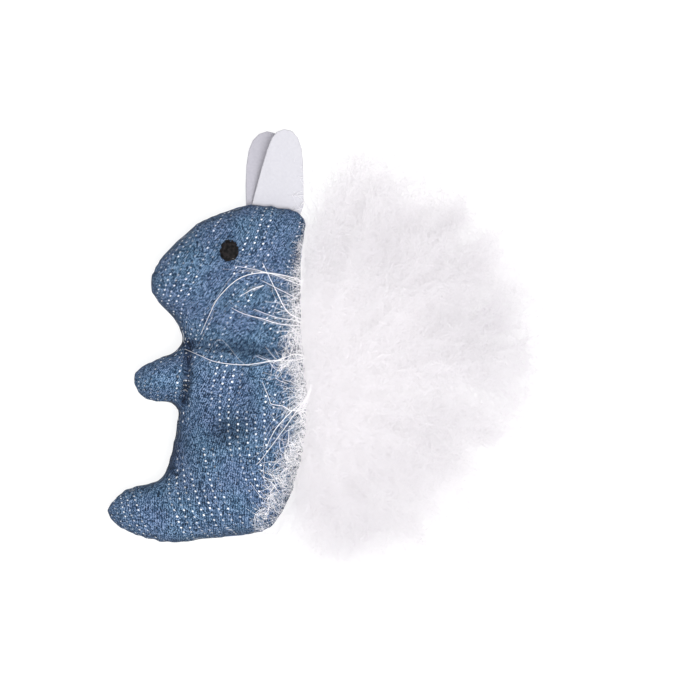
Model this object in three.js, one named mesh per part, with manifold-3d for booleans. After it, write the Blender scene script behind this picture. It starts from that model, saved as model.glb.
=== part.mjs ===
// A stuffed squirrel cat toy, in millimetres: two knit panels over fibre filling, felt ears, stitched
// eyes and a tail of marabou plumes. It lies on its far side. +X points to its back, +Y to the top of
// its head and +Z from the far side to the near one. The seam lies in the plane z = 0 until the last step.
import * as THREE from "three";
import { mergeVertices } from "three/addons/utils/BufferGeometryUtils.js";
import Module from "manifold-3d";

const wasm = await Module();
wasm.setup();

// Driving sizes
const running = { gap: 0.3, overrun: 5 };
const knit = { thickness: 0.7 };
const seam = { gap: 0.3, allowance: 2.4, grooveDepth: 1, thread: 0.4 };
const torso = { width: 34.5, height: 55, halfThickness: 10, restDepth: 0.5 };
const head = { width: 38.9, height: 41, halfThickness: 9.3, backOverhang: 1.3, neckOverlap: 12.5 };
const arm = { width: 21, height: 13.1, halfThickness: 4.6, rootDepth: 13.7 };
const foot = { width: 24.7, height: 16, halfThickness: 5.6, rootDepth: 10.8, drop: 1.4 };
const ear = { width: 13.4, height: 19, felt: 1, farShift: 1.7 };
const eye = { width: 4.9, height: 5.5, rise: 1.2 };
const tape = { width: 3, thickness: 0.8, margin: 2 };
const quill = { radius: 0.45, rootRadius: 0.6, rootLength: 1.5, bare: 2, pitch: 2.4 };
const down = { topHeight: 12.5, floorGap: 0.3, sideGap: 0.45 };
const plumeLengths = [57, 62, 60, 51, 48, 39];

// Angles in radians
const earTilt = THREE.MathUtils.degToRad(9);
const earSplay = THREE.MathUtils.degToRad(6);
const fanTop = THREE.MathUtils.degToRad(70);
const fanStep = THREE.MathUtils.degToRad(28.5);
const fanHalf = fanStep / 2;
const clearOfBack = THREE.MathUtils.degToRad(40);

// Counts
const torsoSides = 34;
const headSides = 34;
const armSides = 20;
const footSides = 22;
const domeRings = 5;
const eyeSides = 14;
const rootSides = 12;
const plumeSides = 14;
const plumeRings = 11;

// A pillow's height over its middle at a share of the way out, and the bends of that curve.
const domeBend = 2.4;
const domeRoot = 0.6;
// A sloping outline is drawn in further along its ray, up to this slope's limit.
const leastSlopeShare = 0.55;

// Outlines, as shares of each form's width and height from its lower left corner, anticlockwise.
const headShares = [
  [0, 0.52], [0.007, 0.459], [0.061, 0.382], [0.143, 0.306], [0.179, 0.254], [0.197, 0.189],
  [0.252, 0.097], [0.368, 0.03], [0.541, 0], [0.715, 0.024], [0.857, 0.11], [0.934, 0.231],
  [0.956, 0.414], [0.963, 0.609], [0.982, 0.78], [1, 0.87], [0.972, 0.921], [0.918, 0.955],
  [0.801, 0.982], [0.639, 1], [0.45, 0.946], [0.305, 0.887], [0.179, 0.784], [0.079, 0.69],
  [0.021, 0.605],
];
const headMiddleShare = [0.55, 0.47];
const torsoShares = [
  [0.558, 1], [0.355, 0.977], [0.21, 0.932], [0.13, 0.868], [0.101, 0.786], [0.105, 0.673],
  [0.109, 0.573], [0.098, 0.505], [0.065, 0.4], [0.022, 0.305], [0, 0.218], [0.022, 0.127],
  [0.109, 0.055], [0.268, 0.009], [0.428, 0], [0.594, 0.009], [0.717, 0.032], [0.812, 0.086],
  [0.877, 0.173], [0.935, 0.264], [0.978, 0.355], [0.999, 0.491], [1, 0.605], [0.993, 0.718],
  [0.978, 0.832], [0.92, 0.927], [0.761, 0.986],
];
const torsoMiddleShare = [0.52, 0.48];
const armShares = [
  [0, 0.505], [0.01, 0.352], [0.072, 0.2], [0.181, 0.078], [0.336, 0.038], [0.525, 0],
  [0.763, 0.067], [0.929, 0.257], [1, 0.524], [0.917, 0.81], [0.739, 0.971], [0.525, 1],
  [0.324, 0.895], [0.18, 0.8], [0.075, 0.705], [0.015, 0.619],
];
const armMiddleShare = [0.5, 0.5];
const footShares = [
  [0, 0.52], [0.02, 0.404], [0.129, 0.255], [0.314, 0.114], [0.514, 0.036], [0.701, 0],
  [0.868, 0.06], [0.98, 0.279], [1, 0.561], [0.919, 0.843], [0.747, 1], [0.554, 0.984],
  [0.392, 0.929], [0.23, 0.875], [0.113, 0.757], [0.038, 0.64],
];
const footMiddleShare = [0.52, 0.48];
const earShares = [
  [-0.5, 0], [0.5, 0], [0.403, 0.446], [0.312, 0.731], [0.188, 0.9], [0.054, 0.992],
  [-0.108, 1], [-0.271, 0.9], [-0.323, 0.83], [-0.394, 0.556], [-0.444, 0.285],
];

// Places, as shares of the piece that carries each thing.
const armPlaceShare = 0.727; // of the torso's height
const tailPlaceShare = 0.66; // of the torso's height
const earPlaceShare = 0.812; // of the head's width
const eyePlaceShare = { x: 0.503, y: 0.708 }; // of the head

// A plume's shape along its length: where it is fullest, how it fills out, and its tufts.
const fullestShare = 0.6;
const fillBend = 1.1;
const tipShare = 0.74;
const tuftShare = 0.07;
const tuftTurns = 4;

// Materials, with the photo's colours.
const knitBlue = new THREE.MeshStandardMaterial({ color: 0x5f7893, roughness: 0.85, metalness: 0.05 });
const knitBlueFar = knitBlue.clone();
const fibreWhite = new THREE.MeshStandardMaterial({ color: 0xf2f1ec, roughness: 1, metalness: 0 });
const feltWhite = new THREE.MeshStandardMaterial({ color: 0xe8e7ed, roughness: 0.95, metalness: 0 });
const stitchDark = new THREE.MeshStandardMaterial({ color: 0x26272b, roughness: 0.7, metalness: 0 });
const threadBlue = new THREE.MeshStandardMaterial({ color: 0x47597a, roughness: 0.6, metalness: 0 });
const tapeWhite = new THREE.MeshStandardMaterial({ color: 0xeeece4, roughness: 0.9, metalness: 0 });
const downWhite = new THREE.MeshStandardMaterial({ color: 0xf5f2f6, roughness: 1, metalness: 0 });

// Solids

function solid(geometry) {
  const bare = geometry.clone();
  bare.deleteAttribute("normal");
  bare.deleteAttribute("uv");
  const merged = mergeVertices(bare);
  return new wasm.Manifold(
    new wasm.Mesh({
      numProp: 3,
      vertProperties: new Float32Array(merged.attributes.position.array),
      triVerts: new Uint32Array(merged.index.array),
    }),
  );
}

// Cuts along nearly equal surfaces can leave slivers beside the body that is meant.
function largestBody(manifold) {
  const bodies = manifold.decompose();
  return bodies.reduce((best, body) => (body.volume() > best.volume() ? body : best));
}

function geometryOf(manifold) {
  const mesh = largestBody(manifold).getMesh();
  const geometry = new THREE.BufferGeometry();
  geometry.setAttribute("position", new THREE.BufferAttribute(mesh.vertProperties, 3));
  geometry.setIndex(new THREE.BufferAttribute(mesh.triVerts, 1));
  geometry.computeVertexNormals();
  return geometry;
}

function box(low, high) {
  const size = new THREE.Vector3().subVectors(high, low);
  const middle = new THREE.Vector3().addVectors(low, high).multiplyScalar(1 / 2);
  const geometry = new THREE.BoxGeometry(size.x, size.y, size.z);
  return solid(geometry.translate(middle.x, middle.y, middle.z));
}

// A closed skin from rings of points, from a first point to a last one.
function skinOf(first, rings, last) {
  const sides = rings[0].length;
  const points = [first, ...rings.flat(), last];
  const end = points.length - 1;
  const faces = [];
  for (let side = 0; side < sides; side += 1) {
    const next = (side + 1) % sides;
    faces.push(0, 1 + next, 1 + side);
    for (let ring = 0; ring < rings.length - 1; ring += 1) {
      const here = 1 + ring * sides;
      const there = here + sides;
      faces.push(here + side, here + next, there + next);
      faces.push(here + side, there + next, there + side);
    }
    const top = end - sides;
    faces.push(end, top + side, top + next);
  }
  const geometry = new THREE.BufferGeometry().setFromPoints(points);
  geometry.setIndex(faces);
  return solid(geometry);
}

// Stuffed forms

const domeShare = (out) => (1 - out ** domeBend) ** domeRoot;

// A form is a closed outline round a middle point, with a half thickness over that point.
function formOf(size, outlineShares, middleShare, sides, corner) {
  const place = ([x, y]) =>
    new THREE.Vector3(corner.x + x * size.width, corner.y + y * size.height, 0);
  const curve = new THREE.CatmullRomCurve3(outlineShares.map(place), true);
  const outline = curve.getSpacedPoints(sides).slice(0, sides);
  return { outline, middle: place(middleShare), halfThickness: size.halfThickness };
}

// The outline drawn in by a distance square to itself, along the rays from the middle.
function drawnIn(form, inset) {
  const { outline, middle } = form;
  const count = outline.length;
  return outline.map((point, index) => {
    const before = outline[(index + count - 1) % count];
    const after = outline[(index + 1) % count];
    const along = new THREE.Vector3().subVectors(after, before).normalize();
    const ray = new THREE.Vector3().subVectors(point, middle);
    const reach = ray.length();
    ray.normalize();
    const slope = Math.max(Math.abs(ray.x * along.y - ray.y * along.x), leastSlopeShare);
    return new THREE.Vector3().copy(middle).addScaledVector(ray, reach - inset / slope);
  });
}

// A pillow: the form's outline, with a dome on each side, all drawn in by the inset.
function pillow(form, inset) {
  const outline = drawnIn(form, inset);
  const height = form.halfThickness - inset;
  const levels = [];
  for (let ring = 1 - domeRings; ring < domeRings; ring += 1) {
    const turn = (Math.PI / 2) * (ring / domeRings);
    levels.push({ out: Math.cos(turn), side: Math.sign(ring) });
  }
  const rings = levels.map(({ out, side }) =>
    outline.map((point) => {
      const placed = new THREE.Vector3().lerpVectors(form.middle, point, out);
      return placed.setZ(side * height * domeShare(out));
    }),
  );
  const bottom = form.middle.clone().setZ(-height);
  const top = form.middle.clone().setZ(height);
  return skinOf(bottom, rings, top);
}

const torsoForm = formOf(torso, torsoShares, torsoMiddleShare, torsoSides, new THREE.Vector3());
const headCorner = new THREE.Vector3(
  torso.width + head.backOverhang - head.width,
  torso.height - head.neckOverlap,
);
const headForm = formOf(head, headShares, headMiddleShare, headSides, headCorner);
const armCorner = new THREE.Vector3(
  arm.rootDepth - arm.width,
  torso.height * armPlaceShare - arm.height / 2,
);
const armForm = formOf(arm, armShares, armMiddleShare, armSides, armCorner);
const footCorner = new THREE.Vector3(foot.rootDepth - foot.width, -foot.drop);
const footForm = formOf(foot, footShares, footMiddleShare, footSides, footCorner);
const forms = [torsoForm, headForm, armForm, footForm];

// Everything within this reach of the origin holds the whole toy.
const reach = 2 * (torso.height + head.height + Math.max(...plumeLengths));
const restLevel = torso.restDepth - torso.halfThickness;

function slab(low, high) {
  return box(new THREE.Vector3(-reach, -reach, low), new THREE.Vector3(reach, reach, high));
}

// The whole stuffed body, drawn in by the inset and cut flat where it rests.
function stuffed(inset) {
  const joined = forms.map((form) => pillow(form, inset)).reduce((all, next) => all.add(next));
  return joined.intersect(slab(restLevel + inset, reach));
}

// Tail places: the plumes leave the back seam one above the other, with their tape behind them.
const plumeCount = plumeLengths.length;
const backLine = torso.width;
const tailMiddle = torso.height * tailPlaceShare;
const plumeRootY = (index) => tailMiddle + quill.pitch * ((plumeCount - 1) / 2 - index);
const tapeHalfLength = (quill.pitch * (plumeCount - 1)) / 2 + tape.margin;
const slitHalf = quill.rootRadius + running.gap;
const tapeBack = backLine - slitHalf;

// A block round the tape: as far as the tape and its clearance reach, out past the back line.
function tapeBlock(halfHeight, clearance, front) {
  const y = tapeHalfLength + clearance;
  return box(
    new THREE.Vector3(tapeBack - tape.width - clearance, tailMiddle - y, -halfHeight),
    new THREE.Vector3(front, tailMiddle + y, halfHeight),
  );
}

const outside = stuffed(0);
const allowanceEdge = stuffed(seam.allowance);
const pastBack = backLine + running.overrun;
const flangeTop = seam.gap / 2 + knit.thickness;
const slitTop = slitHalf + knit.thickness;

// The space in the cloth: all but the turned in allowance and the lips over the tail's tape.
function hollow() {
  const flange = slab(-flangeTop, flangeTop).subtract(allowanceEdge);
  const lips = tapeBlock(slitTop, knit.thickness, pastBack);
  return stuffed(knit.thickness).subtract(flange).subtract(lips);
}

function bothPanels() {
  const groove = slab(-seam.thread / 2 - running.gap, seam.thread / 2 + running.gap);
  return outside
    .subtract(hollow())
    .subtract(groove.subtract(stuffed(seam.grooveDepth)))
    .subtract(tapeBlock(slitHalf, running.gap, pastBack));
}

const panels = bothPanels();
const nearPanel = panels.intersect(slab(seam.gap / 2, reach));
const farPanel = panels.intersect(slab(-reach, -seam.gap / 2));

// The thread lies in the groove and stops short of the tape's slit.
const threadRing = stuffed(running.gap)
  .subtract(stuffed(running.gap + seam.thread))
  .intersect(slab(-seam.thread / 2, seam.thread / 2))
  .subtract(tapeBlock(slitTop, running.gap, pastBack));

// Filling

const fillingInset = knit.thickness + running.gap;
const seamRoom = slab(-flangeTop - running.gap, flangeTop + running.gap)
  .subtract(stuffed(seam.allowance + running.gap))
  .add(tapeBlock(slitTop + running.gap, knit.thickness + running.gap, pastBack));

function fillingOf(form, largerForms) {
  const cut = largerForms.map((larger) => pillow(larger, knit.thickness));
  const filling = cut.reduce((rest, larger) => rest.subtract(larger), pillow(form, fillingInset));
  return filling.intersect(slab(restLevel + fillingInset, reach)).subtract(seamRoom);
}

// Eyes

// The height of a form's dome over a point, from how far out the point lies.
function domeHeight(form, point) {
  const { outline, middle, halfThickness } = form;
  const ray = new THREE.Vector3().subVectors(point, middle);
  const bearing = Math.atan2(ray.y, ray.x);
  const turnTo = (edge) => {
    const turn = Math.atan2(edge.y - middle.y, edge.x - middle.x) - bearing;
    return Math.abs(Math.atan2(Math.sin(turn), Math.cos(turn)));
  };
  const nearest = outline.reduce((best, edge) => (turnTo(edge) < turnTo(best) ? edge : best));
  return halfThickness * domeShare(ray.length() / nearest.distanceTo(middle));
}

function eyeOf(side) {
  const place = new THREE.Vector3(
    headCorner.x + head.width * eyePlaceShare.x,
    headCorner.y + head.height * eyePlaceShare.y,
    0,
  );
  const level = domeHeight(headForm, place);
  const knot = new THREE.SphereGeometry(1, eyeSides, eyeSides / 2);
  knot.scale(eye.width / 2, eye.height / 2, eye.rise);
  knot.translate(place.x, place.y, side * level);
  return solid(knot).subtract(pillow(headForm, -running.gap)).intersect(slab(restLevel, reach));
}

// Ears

// The ear stands on the head's outline, leaning back with it, with its root just clear of it.
const earUp = new THREE.Vector3(Math.sin(earTilt), Math.cos(earTilt), 0);
const earAlong = new THREE.Vector3(Math.cos(earTilt), -Math.sin(earTilt), 0);
const earFoot = new THREE.Vector3(headCorner.x + head.width * earPlaceShare, 0, 0);
const underEar = headForm.outline.filter(
  (point) => Math.abs(point.x - earFoot.x) < ear.width && point.y > headForm.middle.y,
);
const earLevel = Math.max(...underEar.map((point) => point.dot(earUp)));
const earRootRadius = ear.felt / 2;
const earLift = earLevel + earRootRadius + running.gap - earFoot.dot(earUp);
const earRoot = earFoot.clone().addScaledVector(new THREE.Vector3(0, 1, 0), earLift / earUp.y);

function earFlap() {
  const points = earShares.map(([x, y]) => new THREE.Vector2(x * ear.width, y * ear.height));
  const flap = new THREE.ExtrudeGeometry(new THREE.Shape(points), {
    depth: ear.felt,
    bevelEnabled: false,
  });
  flap.translate(0, 0, -ear.felt / 2);
  const root = new THREE.CylinderGeometry(earRootRadius, earRootRadius, ear.width, rootSides);
  root.rotateZ(Math.PI / 2);
  return geometryOf(solid(flap).add(solid(root)));
}

function earMesh(name, side, shift) {
  const level = side * (earRootRadius + running.gap / 2);
  const mesh = meshOf(name, earFlap(), feltWhite);
  mesh.position.copy(earRoot).addScaledVector(earAlong, shift).setZ(level);
  mesh.rotation.set(side * earSplay, 0, -earTilt, "ZXY");
  return mesh;
}

// Plumes

// How full a plume is at a share of its length: it fills out from the quill and rounds off at its tip.
const fillUp = (along) => Math.sin((Math.PI / 2) * Math.min(along / fullestShare, 1)) ** fillBend;
const roundOff = (along) => Math.sqrt(1 - Math.max((along - tipShare) / (1 - tipShare), 0) ** 2);

function plume(index) {
  const length = plumeLengths[index];
  const bearing = fanTop - index * fanStep;
  const outward = new THREE.Vector3(Math.cos(bearing), Math.sin(bearing), 0);
  const across = new THREE.Vector3(-Math.sin(bearing), Math.cos(bearing), 0);
  const bottomHeight = -restLevel - down.floorGap;
  const spare = (quill.pitch * Math.cos(bearing)) / 2;
  const rings = [plumeRing(0, quill.radius, quill.radius, quill.radius, outward, across)];
  for (let ring = 0; ring < plumeRings; ring += 1) {
    const along = Math.sin((Math.PI / 2) * (ring / plumeRings));
    const distance = quill.bare + (length - quill.bare) * along;
    const tuft = 1 - (tuftShare * (1 + Math.cos(2 * Math.PI * tuftTurns * along + index))) / 2;
    const wedge = distance * Math.tan(fanHalf) + spare * fillUp(along) - down.sideGap;
    const full = roundOff(along) * tuft;
    const width = Math.max(quill.radius, wedge * full);
    const above = Math.max(quill.radius, down.topHeight * fillUp(along) * full);
    const below = Math.max(quill.radius, bottomHeight * fillUp(along) * full);
    rings.push(plumeRing(distance, width, above, below, outward, across));
  }
  const start = outward.clone().multiplyScalar(-quill.radius);
  const tip = outward.clone().multiplyScalar(length);
  const butt = new THREE.CylinderGeometry(
    quill.rootRadius,
    quill.rootRadius,
    quill.rootLength,
    rootSides,
  );
  return geometryOf(skinOf(start, rings, tip).add(solid(butt)));
}

// One ring of a plume, no higher or lower than its share of the fold about the back line allows.
function plumeRing(distance, width, topHeight, bottomHeight, outward, across) {
  const points = [];
  for (let side = 0; side < plumeSides; side += 1) {
    const turn = 2 * Math.PI * (side / plumeSides);
    const point = new THREE.Vector3()
      .addScaledVector(outward, distance)
      .addScaledVector(across, width * Math.cos(turn));
    const rise = Math.sin(turn);
    const clear = Math.max(point.x, 0) * Math.tan(clearOfBack);
    const limit = Math.max(clear, quill.radius * Math.abs(rise));
    const level = rise * (rise > 0 ? topHeight : bottomHeight);
    points.push(point.setZ(THREE.MathUtils.clamp(level, -limit, limit)));
  }
  return points;
}

// The toy

function meshOf(name, geometry, material) {
  const mesh = new THREE.Mesh(geometry, material);
  mesh.name = name;
  return mesh;
}

function tailTape() {
  const half = tape.thickness / 2;
  return box(
    new THREE.Vector3(tapeBack - tape.width, tailMiddle - tapeHalfLength, -half),
    new THREE.Vector3(tapeBack, tailMiddle + tapeHalfLength, half),
  );
}

const toy = new THREE.Group();
toy.add(
  meshOf("near_panel", geometryOf(nearPanel), knitBlue),
  meshOf("far_panel", geometryOf(farPanel), knitBlueFar),
  meshOf("torso_filling", geometryOf(fillingOf(torsoForm, [])), fibreWhite),
  meshOf("head_filling", geometryOf(fillingOf(headForm, [torsoForm])), fibreWhite),
  meshOf("arm_filling", geometryOf(fillingOf(armForm, [torsoForm, headForm])), fibreWhite),
  meshOf("foot_filling", geometryOf(fillingOf(footForm, [torsoForm])), fibreWhite),
  meshOf("seam_thread", geometryOf(threadRing), threadBlue),
  meshOf("near_eye", geometryOf(eyeOf(1)), stitchDark),
  meshOf("far_eye", geometryOf(eyeOf(-1)), stitchDark),
  earMesh("near_ear", 1, 0),
  earMesh("far_ear", -1, -ear.farShift),
  meshOf("tail_tape", geometryOf(tailTape()), tapeWhite),
);
for (let index = 0; index < plumeCount; index += 1) {
  const mesh = meshOf(`plume_${index + 1}`, plume(index), downWhite);
  mesh.position.set(backLine, plumeRootY(index), 0);
  toy.add(mesh);
}

// The origin goes under the middle of the toy, on what it rests on.
const bounds = new THREE.Box3().setFromObject(toy, true);
const centre = bounds.getCenter(new THREE.Vector3());
toy.position.set(-centre.x, -centre.y, -bounds.min.z);

export default toy;
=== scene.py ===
# %% [markdown]
# # A stuffed squirrel cat toy
# The toy lies on its far side: a flat bag of blue knit filled with fibre, two felt ears and six
# marabou plumes sewn into its seam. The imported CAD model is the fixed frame, and this lesson builds
# the soft pieces round it. Every length below is in millimetres times MM, because Blender works in
# metres. Every random draw comes from a numbered source, so that each run makes the same toy.

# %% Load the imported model
import math
import random

import bmesh
import bpy
from mathutils import Matrix, Vector, noise
from mathutils.bvhtree import BVHTree
from mathutils.kdtree import KDTree


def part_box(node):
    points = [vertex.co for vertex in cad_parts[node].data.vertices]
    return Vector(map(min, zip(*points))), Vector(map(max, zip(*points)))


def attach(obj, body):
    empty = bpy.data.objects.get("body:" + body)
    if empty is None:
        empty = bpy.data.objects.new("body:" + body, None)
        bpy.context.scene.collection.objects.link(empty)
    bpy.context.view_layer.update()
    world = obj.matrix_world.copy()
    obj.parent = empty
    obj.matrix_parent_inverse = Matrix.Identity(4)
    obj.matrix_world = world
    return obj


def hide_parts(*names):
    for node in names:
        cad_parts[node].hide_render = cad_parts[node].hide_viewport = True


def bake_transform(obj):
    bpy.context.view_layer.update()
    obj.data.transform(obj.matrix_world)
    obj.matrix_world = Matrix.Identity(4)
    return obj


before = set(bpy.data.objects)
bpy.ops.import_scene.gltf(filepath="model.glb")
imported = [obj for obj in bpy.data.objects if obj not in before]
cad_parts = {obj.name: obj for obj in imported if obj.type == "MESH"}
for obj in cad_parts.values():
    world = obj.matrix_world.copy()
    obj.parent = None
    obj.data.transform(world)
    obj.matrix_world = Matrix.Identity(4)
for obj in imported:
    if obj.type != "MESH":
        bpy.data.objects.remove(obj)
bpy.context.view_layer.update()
MM = 0.001

# %% [markdown]
# ## From the photograph's pixels to the frame
# The toy was photographed from straight above, so a place in the picture is a place in the plane of
# the seam. The knit's box gives both the scale and the origin, and no other fitting is needed.

# %% Place a pixel in the frame
cloth_low, cloth_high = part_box("near_panel")
thread_low, thread_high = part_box("seam_thread")
SEAM_HEIGHT = (thread_low.z + thread_high.z) / 2
# The left, right and top edge of the knit, in pixels of the picture.
CLOTH_LEFT, CLOTH_RIGHT, CLOTH_TOP = 109.0, 306.2, 203.8
PIXEL = (cloth_high.x - cloth_low.x) / (CLOTH_RIGHT - CLOTH_LEFT)


def spot(across, down, height=SEAM_HEIGHT):
    """The place in the frame of a pixel, counted across and down from the picture's corner."""
    x = cloth_low.x + (across - CLOTH_LEFT) * PIXEL
    y = cloth_high.y - (down - CLOTH_TOP) * PIXEL
    return Vector((x, y, height))


print("one pixel is", round(PIXEL / MM, 4), "mm, the seam lies at", round(SEAM_HEIGHT / MM, 2), "mm")

# %% [markdown]
# ## Camera, floor and light
# A long lens from straight above keeps the sides of the toy from leaning. The floor is a light table,
# an acrylic sheet lit from below, as studios use for a white ground: it takes the shadow away, and it
# shines softly through the down. One large lamp above gives the cloth its shape.

# %% Set up the studio
scene = bpy.context.scene
scene.view_settings.view_transform = "Standard"
DISTANCE = 2.5
SENSOR = 36
PICTURE = 700
camera = bpy.data.objects.new("camera", bpy.data.cameras.new("camera"))
scene.collection.objects.link(camera)
camera.location = spot(PICTURE / 2, PICTURE / 2) + Vector((0, 0, DISTANCE))
camera.data.sensor_width = SENSOR
camera.data.lens = SENSOR * DISTANCE / (PICTURE * PIXEL)
camera.data.clip_end = 20
scene.camera = camera


def soft_lamp(name, place, target, size, power):
    """A round lamp, its size in metres and its power in watts, turned to its target."""
    lamp = bpy.data.objects.new(name, bpy.data.lights.new(name, "AREA"))
    lamp.data.shape, lamp.data.size, lamp.data.energy = "DISK", size, power
    lamp.location = place
    lamp.rotation_mode = "QUATERNION"
    lamp.rotation_quaternion = (Vector(target) - Vector(place)).to_track_quat("-Z", "Y")
    scene.collection.objects.link(lamp)


soft_lamp("softbox", place=(0.18, -0.2, 1.1), target=(0, 0, 0), size=0.5, power=9.5)
print("lens", round(camera.data.lens), "mm")

# %% [markdown]
# ## Helpers for materials
# A material is a small graph. The helper put adds one node, sets its options, and fills its inputs with
# either a number or another node's output, so that the graphs below read like recipes. Colours are
# written as the hex codes of a screen, while light adds up in linear numbers: linear turns one into the
# other.

# %% Add nodes and start materials
def linear(code):
    """A colour given as an sRGB hex code, in linear numbers."""
    parts = [int(code[i : i + 2], 16) / 255 for i in (1, 3, 5)]
    return tuple(c / 12.92 if c <= 0.04045 else ((c + 0.055) / 1.055) ** 2.4 for c in parts) + (1.0,)


def put(tree, kind, inputs=None, **settings):
    """One new node, its inputs filled with numbers or with the outputs of other nodes."""
    made = tree.nodes.new("ShaderNode" + kind)
    for key, value in settings.items():
        setattr(made, key, value)
    for key, value in (inputs or {}).items():
        if isinstance(value, bpy.types.NodeSocket):
            tree.links.new(value, made.inputs[key])
        else:
            made.inputs[key].default_value = value
    return made


def start(name):
    """An empty material with its surface shader."""
    finish = bpy.data.materials.new(name)
    finish.use_nodes = True
    tree = finish.node_tree
    return finish, tree, tree.nodes["Principled BSDF"]


print("mid grey in linear numbers:", [round(c, 3) for c in linear("#808080")[:3]])

# %% [markdown]
# ### The white ground
# The floor could be a plain white plane, but the toy would then lie in its own shadow. Frosted acrylic
# scatters the light from below evenly, so that the eye sees a white ground without gloss. The room
# round it is brighter above than below, as under a white ceiling, and that shades the cloth's sides.

# %% Light the ground
FLOOR_DROP = 0.15 * MM
scene.world = bpy.data.worlds.new("white_room")
scene.world.use_nodes = True
room = scene.world.node_tree
# The light from the room goes with its height, from 0.3 below to 0.95 straight above.
upward = put(room, "SeparateXYZ", {0: put(room, "TexCoord").outputs["Generated"]}).outputs[2]
brightness = put(
    room, "MapRange", {"Value": upward, "From Min": -0.1, "From Max": 0.9, "To Min": 0.3, "To Max": 0.95}
)
room.links.new(brightness.outputs[0], room.nodes["Background"].inputs["Strength"])
room.nodes["Background"].inputs["Color"].default_value = (1, 1, 1, 1)

acrylic, tree, surface = start("light_table_acrylic")
surface.inputs["Base Color"].default_value = linear("#808080")
surface.inputs["Roughness"].default_value = 0.8
surface.inputs["Emission Color"].default_value = (1, 1, 1, 1)
surface.inputs["Emission Strength"].default_value = 0.84

bm = bmesh.new()
bmesh.ops.create_grid(bm, x_segments=2, y_segments=2, size=3)
bmesh.ops.translate(bm, verts=bm.verts, vec=(0, 0, -FLOOR_DROP))
floor = bpy.data.objects.new("floor", bpy.data.meshes.new("floor"))
bm.to_mesh(floor.data)
bm.free()
floor.data.materials.append(acrylic)
scene.collection.objects.link(floor)
print("floor at", round(floor.data.vertices[0].co.z / MM, 2), "mm")

# %% [markdown]
# ## The knit body
# The real body is two flat panels sewn together, turned inside out and stuffed. The steps here are the
# same: draw the outline of the stuffed toy, make a thin flat bag, and blow it up as cloth with the seam
# held in place. The body could be sculpted instead, but surplus cloth puckers along the curves by
# itself, as it does on the real toy. The bag is simulated twenty times larger, because Blender's cloth
# is tuned to things the size of a garment.

# %% Draw the outline
OUTLINE = [
    (250, 204), (275, 206.7), (293.6, 211), (302, 216.8), (306.2, 225), (304.5, 236), (301.5, 255),
    (301, 290), (302.5, 340), (306.5, 380), (308.5, 405), (307.5, 430), (302, 458), (293, 490), (283, 512),
    (273, 525), (261, 532.8), (230, 536.6), (192, 541), (176, 543.3), (158, 541), (138, 535.8), (120, 526.6),
    (110.5, 517), (107.8, 510.5), (110, 504.5), (116, 498), (125, 489.5), (138, 485.3), (153.6, 482.2),
    (161.2, 478.4), (165.8, 471.5), (172, 450), (176.5, 427), (178, 412), (175, 404.5), (165.8, 402),
    (149, 400.4), (139.8, 393.5), (134, 382), (135.5, 372), (143, 365.9), (161.2, 356.7), (175, 352),
    (181, 344.5), (182, 336.8), (178.6, 326.3), (173, 317.8), (160.3, 305.2), (152.2, 292.6),
    (151, 282.8), (154.3, 268.7), (163.4, 254.7), (178.6, 239.3), (198.2, 222.4), (220.7, 212.6),
]
print(len(OUTLINE), "points round the body")

# %% Make the flat bag
ENLARGE = 20
# The bag's rim lies inside the outline, because the cloth bulges over its seam.
SEAM_INSET = 0.9 * MM
BAG_DEPTH = 1.8 * MM
VOXEL = 0.85 * MM


def link(name, bm, *finishes):
    """A new object from a finished bmesh."""
    piece = bpy.data.objects.new(name, bpy.data.meshes.new(name))
    bm.to_mesh(piece.data)
    bm.free()
    for finish in finishes:
        piece.data.materials.append(finish)
    scene.collection.objects.link(piece)
    return piece


def settle(piece):
    """Applies a piece's modifiers at the current frame, so that only the mesh is left."""
    view = bpy.context.evaluated_depsgraph_get()
    mesh = bpy.data.meshes.new_from_object(piece.evaluated_get(view), depsgraph=view)
    old = piece.data
    piece.modifiers.clear()
    piece.data = mesh
    bpy.data.meshes.remove(old)
    mesh.name = piece.name
    return piece


def flat_bag(name):
    """The outline as a thin closed bag, enlarged, with its seam at height zero."""
    bm = bmesh.new()
    bm.faces.new([bm.verts.new(spot(*point, 0)) for point in reversed(OUTLINE)])
    rim = bmesh.ops.inset_region(bm, faces=bm.faces[:], thickness=SEAM_INSET, use_even_offset=True)
    bmesh.ops.delete(bm, geom=rim["faces"], context="FACES")
    bmesh.ops.translate(bm, verts=bm.verts, vec=(0, 0, -BAG_DEPTH / 2))
    top = bmesh.ops.extrude_face_region(bm, geom=bm.faces[:], use_keep_orig=True)
    raised = [item for item in top["geom"] if isinstance(item, bmesh.types.BMVert)]
    bmesh.ops.translate(bm, verts=raised, vec=(0, 0, BAG_DEPTH))
    bmesh.ops.recalc_face_normals(bm, faces=bm.faces)
    bmesh.ops.scale(bm, verts=bm.verts, vec=(ENLARGE,) * 3)
    return link(name, bm)


bag = flat_bag("bag")
fine = bag.modifiers.new("fine squares", "REMESH")
fine.mode, fine.voxel_size = "VOXEL", VOXEL * ENLARGE
settle(bag)
print("flat bag:", len(bag.data.polygons), "faces")

# %% Mark the seam
# How far from height zero a point of the enlarged bag may be and still belong to the seam.
ON_SEAM = 1e-3

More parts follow.
